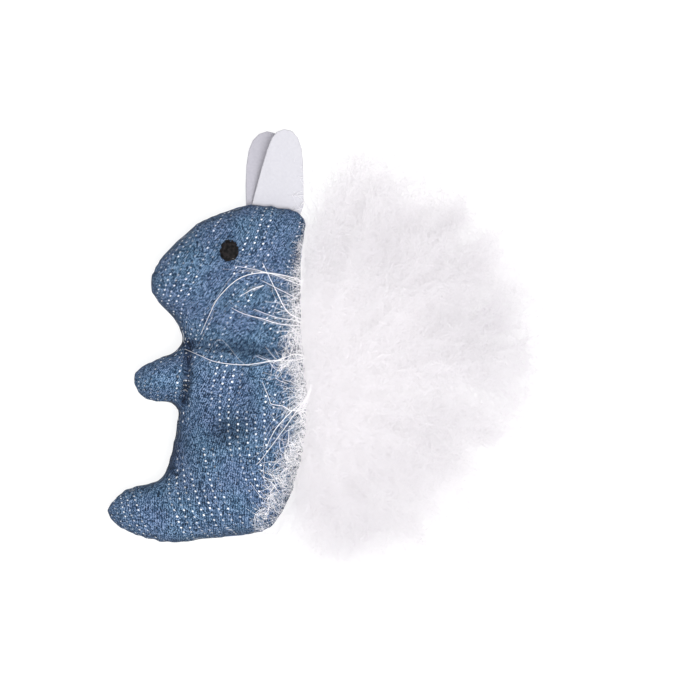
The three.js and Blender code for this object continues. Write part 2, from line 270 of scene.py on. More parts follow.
# A knife at height zero makes the seam, and the faces above it are marked as the near panel's.
bm = bmesh.new()
bm.from_mesh(bag.data)
everything = bm.verts[:] + bm.edges[:] + bm.faces[:]
ring = bmesh.ops.bisect_plane(bm, geom=everything, dist=1e-4, plane_co=(0, 0, 0), plane_no=(0, 0, 1))
for edge in ring["geom_cut"]:
    if isinstance(edge, bmesh.types.BMEdge):
        edge.seam = True
for face in bm.faces:
    face.material_index = 1 if face.calc_center_median().z > 0 else 0
bm.to_mesh(bag.data)
bm.free()
held = bag.vertex_groups.new(name="held")
seam_ring = [v.index for v in bag.data.vertices if abs(v.co.z) < ON_SEAM]
held.add(seam_ring, 1.0, "REPLACE")
print("bag:", len(bag.data.polygons), "faces")

# %% [markdown]
# ### Blowing the bag up
# The flat bag is first raised into a rough dome by its distance from the seam, so that the two sides
# can't change places in narrow corners. Then comes cloth with air pressure, no gravity, and a little
# more cloth than the outline needs. The held ring is the seam. Thirty frames bring it to rest.

# %% Raise the bag into a dome
DOME_HEIGHT, DOME_RUN = 6.5 * MM, 13 * MM
nearest = KDTree(len(seam_ring))
for index in seam_ring:
    nearest.insert(bag.data.vertices[index].co, index)
nearest.balance()
from_seam = []
for vertex in bag.data.vertices:
    away = nearest.find(vertex.co)[2] / ENLARGE
    from_seam.append(away)
    dome = DOME_HEIGHT * (1 - (1 - min(1, away / DOME_RUN)) ** 2.4) ** 0.6
    if abs(vertex.co.z) > ON_SEAM:
        vertex.co.z += math.copysign(dome, vertex.co.z) * ENLARGE
print("the middle of the bag is", round(max(from_seam) / MM, 1), "mm from the seam")

# %% Simulate the cloth
REST_FRAMES = 30


def blow_up(piece):
    """Turns a piece into cloth with air in it, lets it come to rest and keeps that shape."""
    # Stiff along the yarns, soft to bend, and five per cent more cloth than the outline needs.
    cloth = piece.modifiers.new("stuffing", "CLOTH")
    cloth.settings.quality = 6
    cloth.settings.tension_stiffness = cloth.settings.compression_stiffness = 12
    cloth.settings.shear_stiffness = 5
    cloth.settings.bending_stiffness = 0.8
    cloth.settings.air_damping = 4
    cloth.settings.shrink_min = -0.05
    cloth.settings.use_pressure = True
    cloth.settings.uniform_pressure_force = 5
    cloth.settings.vertex_group_mass = "held"
    cloth.settings.effector_weights.gravity = 0
    cloth.collision_settings.use_collision = False
    for step in range(1, REST_FRAMES + 1):
        scene.frame_set(step)
    settle(piece)
    scene.frame_set(1)


blow_up(bag)
bag.data.transform(Matrix.Scale(1 / ENLARGE, 4))
depth = max(v.co.z for v in bag.data.vertices)
print("the blown-up bag is", round(depth / MM, 2), "mm deep each way")

# %% [markdown]
# ### Creases, dimples and the flat place it lies on
# Where the fibre is loose the cloth sinks: across the neck, where the arm starts, and at the belly.
# Each crease is a stroke along which the cloth comes closer to the seam, and each swell the opposite.
# The side that lies on the table is pressed flat there. A number on every point paints shade into the
# cloth's colour: darker at the seam and in the creases, where less light falls, and lighter on the swells.
# All this could be sculpted by hand, but strokes in the picture's pixels are easily compared with it.

# %% Press the creases in
FULL_DEPTH = 9.75 * MM
# A crease has a stroke, the share by which it sinks and its width, and a swell has a middle, the share
# by which it rises and its width, with places and widths in pixels.
CREASES = [
    ([(184, 343), (207, 344), (235, 348), (262, 351), (298, 350)], 0.22, 5),
    ([(188.5, 347), (187.6, 377), (184, 402)], 0.45, 3.6),
    ([(220, 430), (226, 428), (234, 431)], 0.24, 11),
    ([(196, 452), (214, 436), (238, 420)], 0.07, 24),
    ([(176, 410), (178, 440), (172, 466)], 0.06, 9),
    ([(246, 372), (251, 396), (246, 420)], 0.08, 7),
    ([(172, 470), (186, 486), (205, 496)], 0.09, 9),
    ([(229, 251), (229, 253)], 0.1, 12),
]
SWELLS = [
    ((206, 458), 0.1, 15), ((268, 376), 0.1, 13), ((200, 280), 0.03, 24), ((222, 386), 0.04, 14),
    ((160, 376), 0.25, 14), ((145, 514), 0.08, 13), ((256, 418), 0.1, 12), ((250, 305), 0.03, 22),
    ((250, 480), 0.06, 20),
]
# Painted shade: a little darker everywhere, and darker still near the seam, where the steep sides get less
# light.
PLAIN_DARKENING, SEAM_SHADE, SEAM_SHADE_WIDTH = 0.2, 0.55, 1.8 * MM
# Below PRESS_FROM the table presses the cloth together, and nothing comes below LOWEST.
PRESS_FROM, PRESS_BY, LOWEST = 0.7 * MM, 0.6 * MM, 0.1 * MM


def reach_to(place, stroke):
    """How far a flat place is from a stroke."""
    best = 1e9
    for a, b in zip(stroke, stroke[1:]):
        a, b = Vector(a), Vector(b)
        share = min(1, max(0, (place - a).dot(b - a) / (b - a).length_squared))
        best = min(best, (place - a - (b - a) * share).length)
    return best


def pixel_of(point):
    """The pixel that shows a point of the frame: the opposite of spot."""
    across = CLOTH_LEFT + (point.x - cloth_low.x) / PIXEL
    return Vector((across, CLOTH_TOP + (cloth_high.y - point.y) / PIXEL))


fullness = FULL_DEPTH / max(depth, FULL_DEPTH * 0.2)
painted_shades = []
for vertex, away in zip(bag.data.vertices, from_seam):
    place = pixel_of(vertex.co)
    share = fullness
    # The painted shade: darker at the seam and along the creases, lighter on the swells, as light would fall.
    shade_paint = PLAIN_DARKENING + SEAM_SHADE * math.exp(-((away / SEAM_SHADE_WIDTH) ** 2))
    for stroke, sink, width in CREASES:
        nearness = math.exp(-((reach_to(place, stroke) / width) ** 2))
        share *= 1 - sink * nearness
        shade_paint += 2 * sink * nearness
    for middle, swell, width in SWELLS:
        nearness = math.exp(-(((place - Vector(middle)).length / width) ** 2))
        share *= 1 + swell * nearness
        shade_paint -= 1.2 * swell * nearness
    painted_shades.append(min(1, max(0, shade_paint)))
    vertex.co.z = SEAM_HEIGHT + vertex.co.z * share
    if vertex.co.z < PRESS_FROM:
        vertex.co.z = LOWEST + PRESS_BY * math.exp((vertex.co.z - PRESS_FROM) / PRESS_BY)
bag.data.attributes.new("painted_shade", "FLOAT", "POINT").data.foreach_set("value", painted_shades)
heights = [v.co.z / MM for v in bag.data.vertices]
print("the toy lies from", round(min(heights), 2), "to", round(max(heights), 2), "mm")

# %% [markdown]
# ### The way the rows run
# The silver points lie in rows that follow the cloth. They lean left at the head and right at the foot,
# so each point of the bag gets two numbers, kept in its UV map: which row it is on, and how far along.
# The top is numbered by its place in the picture. The steep sides are numbered as if they were folded
# out flat, because otherwise the pattern would be drawn out into stripes there.

# %% Number the rows
# How far the rows lean to the right for each pixel down, at some places down the picture.
LEAN = [
    (190, -0.2), (250, -0.35), (300, -0.5), (345, -0.5), (385, -0.15), (420, 0.0), (470, 0.25), (550, 0.45),
]
ROW_PITCH, POINT_PITCH = 9.0, 6.2
ROWS_FROM, ROWS_TO = 160, 590
SHOULDER = 6 * MM


def between(table, place):
    """The value at a place, from a table of places and their values."""
    for (before, first), (after, second) in zip(table, table[1:]):
        if place <= after:
            return first + (second - first) * max(0, place - before) / (after - before)
    return table[-1][1]


drift, length = [0.0], [0.0]
for down in range(ROWS_FROM, ROWS_TO):
    slope = between(LEAN, down + 0.5)
    drift.append(drift[-1] + slope)
    length.append(length[-1] + math.hypot(1, slope))


def row_and_place(across, down):
    """Which row a pixel is on, and how many points along it."""
    t = min(max(down - ROWS_FROM, 0), ROWS_TO - ROWS_FROM - 0.1)
    low, part = int(t), t - int(t)
    shift = drift[low] * (1 - part) + drift[low + 1] * part
    along = length[low] * (1 - part) + length[low + 1] * part
    return (across - shift) / ROW_PITCH, along / POINT_PITCH


rows = bag.data.uv_layers.new(name="rows")
for loop in bag.data.loops:
    vertex = bag.data.vertices[loop.vertex_index]
    below = max(0, SHOULDER - abs(vertex.co.z - SEAM_HEIGHT))
    outward = Vector((vertex.normal.x, vertex.normal.y, 0))
    rows.data[loop.index].uv = row_and_place(*pixel_of(vertex.co + outward * below))
print("rows numbered on", len(bag.data.loops), "corners")

# %% [markdown]
# ### Two panels and the filling
# The seam ring that the knife left in the mesh cuts the bag into the two panels. Each gets one level of
# subdivision, which rounds the squares off, and then the thickness of the cloth, inwards. A smaller copy
# of the bag stands for the fibre inside.

# %% Cut the panels
CLOTH_THICKNESS = 0.6 * MM


def panel(name, near):
    """One side of the bag, cut along the seam and given the thickness of the cloth, inwards."""
    bm = bmesh.new()
    bm.from_mesh(bag.data)
    bmesh.ops.split_edges(bm, edges=[edge for edge in bm.edges if edge.seam])
    other = [face for face in bm.faces if (face.material_index == 1) != near]
    bmesh.ops.delete(bm, geom=other, context="FACES")
    for face in bm.faces:
        face.material_index, face.smooth = 0, True
    piece = link(name, bm)
    smooth = piece.modifiers.new("round off", "SUBSURF")
    smooth.levels = smooth.render_levels = 1
    wall = piece.modifiers.new("cloth thickness", "SOLIDIFY")
    wall.thickness, wall.offset = CLOTH_THICKNESS, -1
    return settle(piece)


near_cloth = panel("near_cloth", True)
far_cloth = panel("far_cloth", False)
for piece, node in ((near_cloth, "near_panel"), (far_cloth, "far_panel")):
    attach(piece, "toy")
    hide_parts(node)
print("panels:", len(near_cloth.data.polygons), len(far_cloth.data.polygons), "faces")

# %% Make the filling
FILLING_INSET = 0.95 * MM
bm = bmesh.new()
bm.from_mesh(bag.data)
bm.normal_update()
for vertex in bm.verts:
    vertex.co -= vertex.normal * FILLING_INSET
bmesh.ops.smooth_vert(bm, verts=bm.verts, factor=0.5, use_axis_x=True, use_axis_y=True, use_axis_z=True)
for face in bm.faces:
    face.material_index, face.smooth = 0, True
filling = link("filling", bm)
bpy.data.objects.remove(bag)
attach(filling, "toy")
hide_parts("torso_filling", "head_filling", "arm_filling", "foot_filling")
print("filling:", len(filling.data.polygons), "faces")

# %% [markdown]
# ## The knit's finish
# A crepe knit of polyester: dark and light blue yarns twisted together, so the colour changes from
# stitch to stitch, and a silver metallic thread that surfaces as small points in rows. The yarn is matt and
# its surface pebbled, so the eye sees specks and a soft shade, with no gloss. A Voronoi pattern gives
# each of its cells one random number, as dyed stitches have, which a plain noise doesn't. Real stitches
# are finer than a pixel here, so they are drawn 0.3 to 0.4 mm wide, which is how coarse they look in
# the picture.

# %% Mix the stitches
STITCHES = 3.1
knit, tree, surface = start("crepe_knit_with_metallic_thread")
flat = put(tree, "UVMap", uv_map="rows").outputs["UV"]
pitch = (ROW_PITCH * PIXEL / MM, POINT_PITCH * PIXEL / MM, 1)
cloth_mm = put(tree, "VectorMath", {0: flat, 1: pitch}, operation="MULTIPLY").outputs[0]
slant = {"Vector": cloth_mm, "Rotation": (0, 0, 0.6), "Scale": (1.0, 0.8, 1.0)}
slanted = put(tree, "Mapping", slant).outputs[0]
cells = {"Vector": slanted, "Scale": STITCHES, "Randomness": 0.95}
stitches = put(tree, "TexVoronoi", cells, voronoi_dimensions="2D")
stitch_tone = put(tree, "SeparateColor", {"Color": stitches.outputs["Color"]}).outputs[0]
# A noise of 0.2 mm for the single filaments of the yarn.
filaments = {"Vector": slanted, "Scale": 5.0, "Detail": 2.0, "Roughness": 0.7}
fine = put(tree, "TexNoise", filaments, noise_dimensions="2D").outputs["Fac"]
fine = put(tree, "MapRange", {"Value": fine, "From Min": 0.3, "From Max": 0.7}).outputs[0]
tone = put(tree, "Mix", {0: 0.5, 2: stitch_tone, 3: fine}).outputs[0]
# Wavy ribs, a few millimetres apart, where the crepe yarn draws the knit together.
ribs = put(tree, "Mapping", {"Vector": cloth_mm, "Rotation": (0, 0, -0.35)}).outputs[0]
waves = {"Vector": ribs, "Scale": 0.57, "Distortion": 4.0, "Detail": 2.0, "Detail Scale": 1.5}
ribs = put(tree, "TexWave", waves).outputs["Fac"]
tone = put(tree, "Mix", {0: 0.2, 2: tone, 3: ribs}).outputs[0]
# Painted highlight: one stitch in five is made lighter, as if it caught the light.
painted_glints = put(tree, "TexVoronoi", {"Vector": cloth_mm, "Scale": 4.6}, voronoi_dimensions="2D")
painted_glints = put(tree, "SeparateColor", {"Color": painted_glints.outputs["Color"]}).outputs[1]
painted_glints = put(tree, "MapRange", {"Value": painted_glints, "From Min": 0.8, "From Max": 1.0, "To Max": 0.4}).outputs[0]
tone = put(tree, "Math", {0: tone, 1: painted_glints}, operation="ADD").outputs[0]
print("stitches about", round(1 / STITCHES, 2), "mm wide")

# %% Dye the yarns
yarns = put(tree, "ValToRGB", {"Fac": tone})
stops = yarns.color_ramp.elements
stops[0].position, stops[0].color = 0.26, linear("#0b1522")
stops[1].position, stops[1].color = 0.83, linear("#9fb5ce")
stops.new(0.42).color = linear("#2b435c")
stops.new(0.6).color = linear("#4e6e8b")
# The blue is a shade warmer in some places, about a centimetre wide, and a shade cooler in others.
drifts = {"Vector": cloth_mm, "Scale": 0.09, "Detail": 2.0}
patches = put(tree, "TexNoise", drifts, noise_dimensions="2D").outputs["Fac"]
patches = put(tree, "MapRange", {"Value": patches, "From Min": 0.35, "From Max": 0.65}).outputs[0]
tint = put(tree, "Mix", {0: patches, 6: linear("#ecebfa"), 7: linear("#e6f2fa")}, data_type="RGBA").outputs[2]
tinted = {0: 1.0, 6: yarns.outputs["Color"], 7: tint}
blues = put(tree, "Mix", tinted, data_type="RGBA", blend_type="MULTIPLY").outputs[2]
# Painted shade: darker at the seam and in the creases, lighter on the swells, from the number on each point.
painted_shade = put(tree, "Attribute", attribute_name="painted_shade").outputs["Fac"]
darkened = {0: painted_shade, 6: blues, 7: linear("#737b8a")}
blues = put(tree, "Mix", darkened, data_type="RGBA", blend_type="MULTIPLY").outputs[2]
surface.inputs["Specular IOR Level"].default_value = 0.25
print("yarn colours:", len(stops))

# %% [markdown]
# ### The silver points
# Each whole step of the row numbers is one cell with one point. A random number for the cell says how
# bright its point is, and a slow noise fades whole stretches of a row, where the thread stays behind the
# cloth. The points could be small pieces of their own, but a pattern follows every fold of the cloth.
# Such thread is metal foil on film, so its points are smoother than the yarn, and the eye sees a glint.

# %% Find the nearest silver point
steps = put(tree, "SeparateXYZ", {0: flat})
row = put(tree, "Math", {0: steps.outputs[0]}, operation="FLOOR").outputs[0]
row_luck = put(tree, "TexWhiteNoise", {"W": row}, noise_dimensions="1D").outputs["Value"]
along = put(tree, "Math", {0: steps.outputs[1], 1: row_luck}, operation="ADD").outputs[0]
place_along = put(tree, "Math", {0: along}, operation="FLOOR").outputs[0]
cell = put(tree, "CombineXYZ", {0: row, 1: place_along}).outputs[0]
luck = put(tree, "TexWhiteNoise", {"Vector": cell}, noise_dimensions="2D")
jitter = put(tree, "SeparateColor", {"Color": luck.outputs["Color"]})
# How far across and along a place is, in millimetres, from its cell's point near the middle.
offsets = []
coordinates = (steps.outputs[0], jitter.outputs[0], pitch[0]), (along, jitter.outputs[1], pitch[1])
for step, middle, width in coordinates:
    inside = put(tree, "Math", {0: step}, operation="FRACT").outputs[0]
    centre = put(tree, "MapRange", {"Value": middle, "To Min": 0.42, "To Max": 0.58}).outputs[0]
    gap = put(tree, "Math", {0: inside, 1: centre}, operation="SUBTRACT").outputs[0]
    offsets.append(put(tree, "Math", {0: gap, 1: width}, operation="MULTIPLY").outputs[0])
from_point = put(tree, "CombineXYZ", {0: offsets[0], 1: offsets[1]}).outputs[0]
from_point = put(tree, "VectorMath", {0: from_point}, operation="LENGTH").outputs["Value"]
# A point is about half a millimetre wide, with a soft rim.
disc = {"Value": from_point, "From Min": 0.33, "From Max": 0.13}
spot_mask = put(tree, "MapRange", disc, interpolation_type="SMOOTHSTEP").outputs[0]
print("one point every", round(pitch[1], 2), "mm, rows", round(pitch[0], 2), "mm apart")

# %% Lay the silver over the yarn
# A noise along the rows, some three rows wide and a dozen points long, lets the silver come and go.
stretch = put(tree, "Mapping", {"Vector": flat, "Scale": (0.34, 0.075, 1)}).outputs[0]
slow = {"Vector": stretch, "Scale": 1.0, "Detail": 1.0}
fade = put(tree, "TexNoise", slow, noise_dimensions="2D").outputs["Fac"]
fade = put(tree, "MapRange", {"Value": fade, "From Min": 0.43, "From Max": 0.56}).outputs[0]
shine = put(tree, "MapRange", {"Value": luck.outputs["Value"], "To Min": 0.15, "To Max": 1.3}).outputs[0]
shine = put(tree, "Math", {0: shine, 1: fade}, operation="MULTIPLY").outputs[0]
points = put(tree, "Math", {0: shine, 1: spot_mask}, operation="MULTIPLY", use_clamp=True).outputs[0]
coloured = put(tree, "Mix", {0: points, 6: blues, 7: linear("#f2f5fa")}, data_type="RGBA").outputs[2]
metal = put(tree, "Math", {0: points, 1: 0.6}, operation="MULTIPLY").outputs[0]
rough = put(tree, "MapRange", {"Value": points, "To Min": 0.85, "To Max": 0.35}).outputs[0]
relief = put(tree, "Math", {0: stitches.outputs["Distance"], 1: -0.6}, operation="MULTIPLY").outputs[0]
relief = put(tree, "Math", {0: relief, 1: fine}, operation="ADD").outputs[0]
bump = put(tree, "Bump", {"Height": relief, "Strength": 0.35, "Distance": 0.08 * MM}).outputs[0]
for socket, value in (("Base Color", coloured), ("Metallic", metal), ("Roughness", rough), ("Normal", bump)):
    tree.links.new(value, surface.inputs[socket])
for piece in (near_cloth, far_cloth):
    piece.data.materials.clear()
    piece.data.materials.append(knit)
print("the knit has", len(tree.nodes), "nodes")

# %% [markdown]
# ## Fibre, stitching thread and tape
# These are almost hidden: the fibre by the panels, the closing thread at the bottom of the seam, and the
# tape inside the back. All three are matt and fibrous, so one recipe serves: two close colours in a fine
# noise. The fibre is off-white fluff, the thread a smooth twist with a slight gloss, and the tape plain
# cotton. The thread and the tape are CAD pieces whose shape is right, so they stay, with a finish of
# their own.

# %% Mix the hidden finishes
def matt(name, colour, dark, scale, lift, roughness=0.9):
    """Two close colours in a noise of so many grains to the metre, which is also the relief."""
    finish, tree, surface = start(name)
    place = put(tree, "TexCoord").outputs["Object"]
    grain = put(tree, "TexNoise", {"Vector": place, "Scale": scale, "Detail": 4.0}).outputs["Fac"]
    shade = put(tree, "Mix", {0: grain, 6: linear(dark), 7: linear(colour)}, data_type="RGBA").outputs[2]
    bump = put(tree, "Bump", {"Height": grain, "Strength": 0.6, "Distance": lift}).outputs[0]
    tree.links.new(shade, surface.inputs["Base Color"])
    tree.links.new(bump, surface.inputs["Normal"])
    surface.inputs["Roughness"].default_value = roughness
    return finish


def refinish(node, finish):
    """Gives a CAD piece another finish."""
    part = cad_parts[node]
    part.material_slots[0].link = "OBJECT"
    part.material_slots[0].material = finish


# Tufts of 1.1 mm in the filling, hairs of 0.25 mm on the thread and a weave of 0.4 mm in the tape.
fibre = matt("polyester_fibre_filling", "#f3f2ee", "#d9d8d2", 900, 0.3 * MM)
filling.data.materials.append(fibre)
refinish("seam_thread", matt("spun_polyester_thread", "#46638c", "#2b4468", 4000, 0.05 * MM, 0.6))
refinish("tail_tape", matt("woven_cotton_tape", "#f0ede4", "#d8d3c6", 2500, 0.05 * MM))
print("finishes:", [finish.name for finish in bpy.data.materials if finish.users])

# %% [markdown]
# ## The felt ears
# Each ear is a flap cut from felt, caught in the seam at its lower end. Felt has no threads that could
# fray, so its cut edge is square but soft. The flap is made flat from its outline, remeshed into fine
# squares that round its edges, and then bent, which is easier to control than a simulation: the near one
# lies over the far one, which is cupped. Wool felt scatters light every way, so the eye sees an even
# white with a faint nap and no gloss. The far ear faces away from the lamp, and that shade is painted into
# its felt as a greyer colour.

# %% Cut the flaps
NEAR_FLAP = [
    (251, 211), (252.3, 203), (257, 185), (262, 167), (267.5, 149), (272, 138), (277, 132), (284, 129.3),
    (292, 131), (298, 138), (301.5, 148), (303, 162), (303.5, 185), (303.5, 206), (300, 215.5),
]
FAR_FLAP = [
    (246, 209), (245.5, 185), (246.3, 165), (248.5, 150), (252.5, 140), (259, 133.5), (267, 131),
    (275, 133), (282, 139), (287, 150), (290, 168), (292, 190), (292, 212),
]
FELT_THICKNESS = 0.9 * MM
FELT_SQUARES = 0.3 * MM


def flap(name, outline, low):
    """A flat piece of felt over an outline, its lower side at a height."""
    bm = bmesh.new()
    bm.faces.new([bm.verts.new(spot(*point, low)) for point in reversed(outline)])
    top = bmesh.ops.extrude_face_region(bm, geom=bm.faces[:], use_keep_orig=True)
    raised = [item for item in top["geom"] if isinstance(item, bmesh.types.BMVert)]
    bmesh.ops.translate(bm, verts=raised, vec=(0, 0, FELT_THICKNESS))
    bmesh.ops.recalc_face_normals(bm, faces=bm.faces)
    piece = link(name, bm)
    fine = piece.modifiers.new("fine squares", "REMESH")
    fine.mode, fine.voxel_size = "VOXEL", FELT_SQUARES
    return settle(piece)


near_flap = flap("near_flap", NEAR_FLAP, SEAM_HEIGHT - 0.2 * MM)
far_flap = flap("far_flap", FAR_FLAP, SEAM_HEIGHT - 1.1 * MM)
print("flaps:", len(near_flap.data.polygons), len(far_flap.data.polygons), "faces")

# %% Bend the flaps
# The line where the ears leave the seam, their height, their middle and half their width, in pixels.
EAR_FOOT, EAR_TALL, EAR_MIDDLE, EAR_HALF = 207, 78, 271, 28
UNEVEN, UNEVEN_SCALE = 0.12 * MM, 260


def bend(piece, rise, roll, lip):
    """Lifts the flap from the seam to its tip, and rolls its left part down to a flatter lip."""
    for vertex in piece.data.vertices:
        place = pixel_of(vertex.co)
        up = max(0, (EAR_FOOT - place.y) / EAR_TALL)
        side = min(0, (place.x - EAR_MIDDLE) / EAR_HALF)
        vertex.co.z += (rise * up**1.3 + (roll * side + lip * side * side) * up**0.6) * MM
        vertex.co.z += UNEVEN * noise.noise(vertex.co * UNEVEN_SCALE)
    for face in piece.data.polygons:
        face.use_smooth = True


bend(near_flap, 2.2, 0.6, 0)
bend(far_flap, -1.2, 6.5, 3.2)
# A nap of 0.7 mm, coarser than that of real felt, so that it shows.
near_felt = matt("white_wool_felt", "#c9c8ce", "#bab9c0", 1500, 0.08 * MM, 0.95)
# Painted shade: the far ear's felt is given greyer colours than the near ear's.
shaded_far_felt = matt("white_wool_felt_painted_shade", "#bcbac2", "#a9a7b1", 1500, 0.08 * MM, 0.95)
# Each ear gets its felt, and its CAD piece is hidden.
for piece, node, hinge, felt in (
    (near_flap, "near_ear", spot(278.2, 202.7, 10.15 * MM), near_felt),
    (far_flap, "far_ear", spot(271.4, 201.7, 8.85 * MM), shaded_far_felt),
):
    piece.data.materials.append(felt)
    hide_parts(node)
    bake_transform(piece)

# %% [markdown]
# ## Strands
# The eyes, the down and the stray barbs are all fine round strands. Blender's hair would be quicker to
# draw, but the library needs meshes. Its curves give them: a line of points with a thickness at each,
# given a small cross-section and turned into a mesh. Three sides are enough for a hair, and six for a
# thread.

# %% Turn lines into strands
def strands(name, lines, finish, sides=3):
    """One mesh of many strands, each from a list of points and a list of radii."""
    bm = bmesh.new()
    bmesh.ops.create_circle(bm, segments=sides, radius=1)
    corners = [(vertex.co.x, vertex.co.y) for vertex in bm.verts]
    bm.free()
    section = bpy.data.curves.new("section", "CURVE")
    ring = section.splines.new("POLY")
    ring.points.add(sides - 1)
    for point, corner in zip(ring.points, corners):
        point.co = (*corner, 0, 1)
    ring.use_cyclic_u = True
    profile = bpy.data.objects.new("section", section)
    curve = bpy.data.curves.new(name, "CURVE")
    curve.dimensions, curve.bevel_mode, curve.bevel_object = "3D", "OBJECT", profile
    curve.use_fill_caps = True
    for points, widths in lines:
        spline = curve.splines.new("POLY")
        spline.points.add(len(points) - 1)
        spline.points.foreach_set("co", [c for point in points for c in (*point, 1)])
        spline.points.foreach_set("radius", widths)
    holder = bpy.data.objects.new(name, curve)
    scene.collection.objects.link(profile)
    scene.collection.objects.link(holder)
    bpy.context.view_layer.update()
    view = bpy.context.evaluated_depsgraph_get()
    mesh = bpy.data.meshes.new_from_object(holder.evaluated_get(view), depsgraph=view)
    for temporary in (holder, profile):
        bpy.data.objects.remove(temporary)
    mesh.materials.clear()
    mesh.materials.append(finish)
    mesh.polygons.foreach_set("use_smooth", [True] * len(mesh.polygons))
    mesh.name = name
    piece = bpy.data.objects.new(name, mesh)
    scene.collection.objects.link(piece)
    return piece


corners = [vertex.co for vertex in near_cloth.data.vertices]
cloth_tree = BVHTree.FromPolygons(corners, [face.vertices for face in near_cloth.data.polygons])


def cloth_height(across, down):
    """Height of the near panel at a pixel, or nothing beside it."""
    hit = cloth_tree.ray_cast(spot(across, down, 0.1), Vector((0, 0, -1)))
    return hit[0].z if hit[0] else None


print("cloth under the eye at", round(cloth_height(229, 251.7) / MM, 2), "mm")

# %% [markdown]
# ## The eyes
# Each eye is a knot of black-brown embroidery thread, about 5 mm across: a padded spot with stitches
# laid over it in every direction. A smooth dark dome would look like a bead, so 46 threads run over a
# low dome that closes the gaps. Rayon thread is lustrous but nearly black here, and its colour goes from
# black to dark brown in a fine noise.

# %% Mix the embroidery thread
embroidery, tree, surface = start("black_brown_rayon_thread")
place = put(tree, "TexCoord").outputs["Object"]
# The twist of the thread, 0.7 mm for each turn.
twist = put(tree, "TexNoise", {"Vector": place, "Scale": 1400.0, "Detail": 3.0}).outputs["Fac"]
shade = put(tree, "ValToRGB", {"Fac": twist})
dark, light = shade.color_ramp.elements
dark.position, dark.color = 0.42, linear("#030304")
light.position, light.color = 0.6, linear("#231f20")
tree.links.new(shade.outputs["Color"], surface.inputs["Base Color"])
surface.inputs["Roughness"].default_value = 0.5
surface.inputs["Specular IOR Level"].default_value = 0.15
print("eye thread:", len(tree.nodes), "nodes")

# %% Embroider the eyes
EYE_WIDE, EYE_HIGH, EYE_RISE = 4.8 * MM, 5.7 * MM, 1.0 * MM
STITCH_COUNT, STITCH_STEPS, THREAD_RADIUS = 46, 12, 0.2 * MM


def eye(name, node, side):
    """A knot on the near cheek for side 1, or on the far cheek for side -1."""
    low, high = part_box(node)
    middle = (low + high) / 2 + Vector((0, -0.5 * MM, 0))
    ground = cloth_height(*pixel_of(middle)) - SEAM_HEIGHT
    luck = random.Random(7)
    lines = []
    for count in range(STITCH_COUNT):
        turn = luck.uniform(0, math.pi)
        aside = luck.uniform(-0.82, 0.82)
        half = math.sqrt(1 - aside * aside) * luck.uniform(0.86, 1.06)
        points, widths = [], []
        for step in range(STITCH_STEPS + 1):
            run = (2 * step / STITCH_STEPS - 1) * half
            x = run * math.cos(turn) - aside * math.sin(turn)
            y = run * math.sin(turn) + aside * math.cos(turn)
            dome = math.sqrt(max(0, 1 - x * x - y * y))
            rise = ground + (dome**0.8 - 0.25) * EYE_RISE + (count % 3) * 0.1 * MM
            place = (middle.x + x * EYE_WIDE / 2, middle.y + y * EYE_HIGH / 2, SEAM_HEIGHT + side * rise)
            points.append(place)
            widths.append(THREAD_RADIUS)
        lines.append((points, widths))
    knot = strands(name, lines, embroidery, sides=6)
    bm = bmesh.new()
    bmesh.ops.create_uvsphere(bm, u_segments=24, v_segments=12, radius=1)
    bmesh.ops.scale(bm, verts=bm.verts, vec=(EYE_WIDE * 0.46, EYE_HIGH * 0.46, EYE_RISE * 0.85))
    pad_height = SEAM_HEIGHT + side * (ground - 0.2 * MM)
    bmesh.ops.translate(bm, verts=bm.verts, vec=(middle.x, middle.y, pad_height))
    pad = link(name + "_pad", bm, embroidery)
    for piece in (knot, pad):
        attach(piece, "toy")
    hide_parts(node)
    return knot


near_knot = eye("near_knot", "near_eye", 1)
far_knot = eye("far_knot", "far_eye", -1)
print("eye stitches:", len(near_knot.data.polygons), "and", len(far_knot.data.polygons), "faces")

# %% [markdown]
# ## The marabou plumes
# A marabou plume is a thin quill with long limp barbs on both sides, and each barb carries down so fine
# that only its haze shows. A fuzzy solid would be quicker, but its edge would have no filaments. So six
# plumes fan out from the back seam and run into one cloud. Each is drawn as its quill, hundreds of barbs
# that reach for places spread through the cloud, and thousands of short tapered filaments of down along
# them. The cloud is thick up to one distance and thin haze up to another.

# %% Shape the cloud
CLOUD_MIDDLE = (302, 385)
# Bearing in degrees from the middle, reach of the thick part and reach of the haze, in millimetres.
CLOUD = [
    (-130, 33, 40), (-118, 36, 43), (-105, 40, 48), (-98, 41, 50), (-80, 43, 51), (-65, 45, 53),
    (-53, 48, 56), (-40, 46, 57), (-24, 44, 58), (-15, 51, 61), (-4, 56, 64), (10, 59, 65), (21, 60, 67),
    (32, 59, 68), (45, 57, 68), (53, 57, 68), (62, 54, 69), (68, 50, 72), (74, 46, 74), (80, 41, 68),
    (86, 38, 60), (95, 32, 45), (105, 29, 37),
]
CLOUD_THICK, CLOUD_RISE = 10 * MM, 1.5 * MM
# Shares of the way out: 1 is the edge of the thick part, and one more band is the edge of the haze.
HAZE_BAND = 0.3


def cloud_reach(bearing, share):
    """Distance to a share of the way out, in a direction given in degrees."""
    for (before, *first), (after, *second) in zip(CLOUD, CLOUD[1:]):
        if bearing <= after:
            part = max(0, bearing - before) / (after - before)
            thick, haze = (a + (b - a) * part for a, b in zip(first, second))
            beyond = max(0, share - 1) / HAZE_BAND
            return (thick * min(share, 1) + (haze - thick) * beyond) * MM
    return CLOUD[-1][1] * min(share, 1) * MM


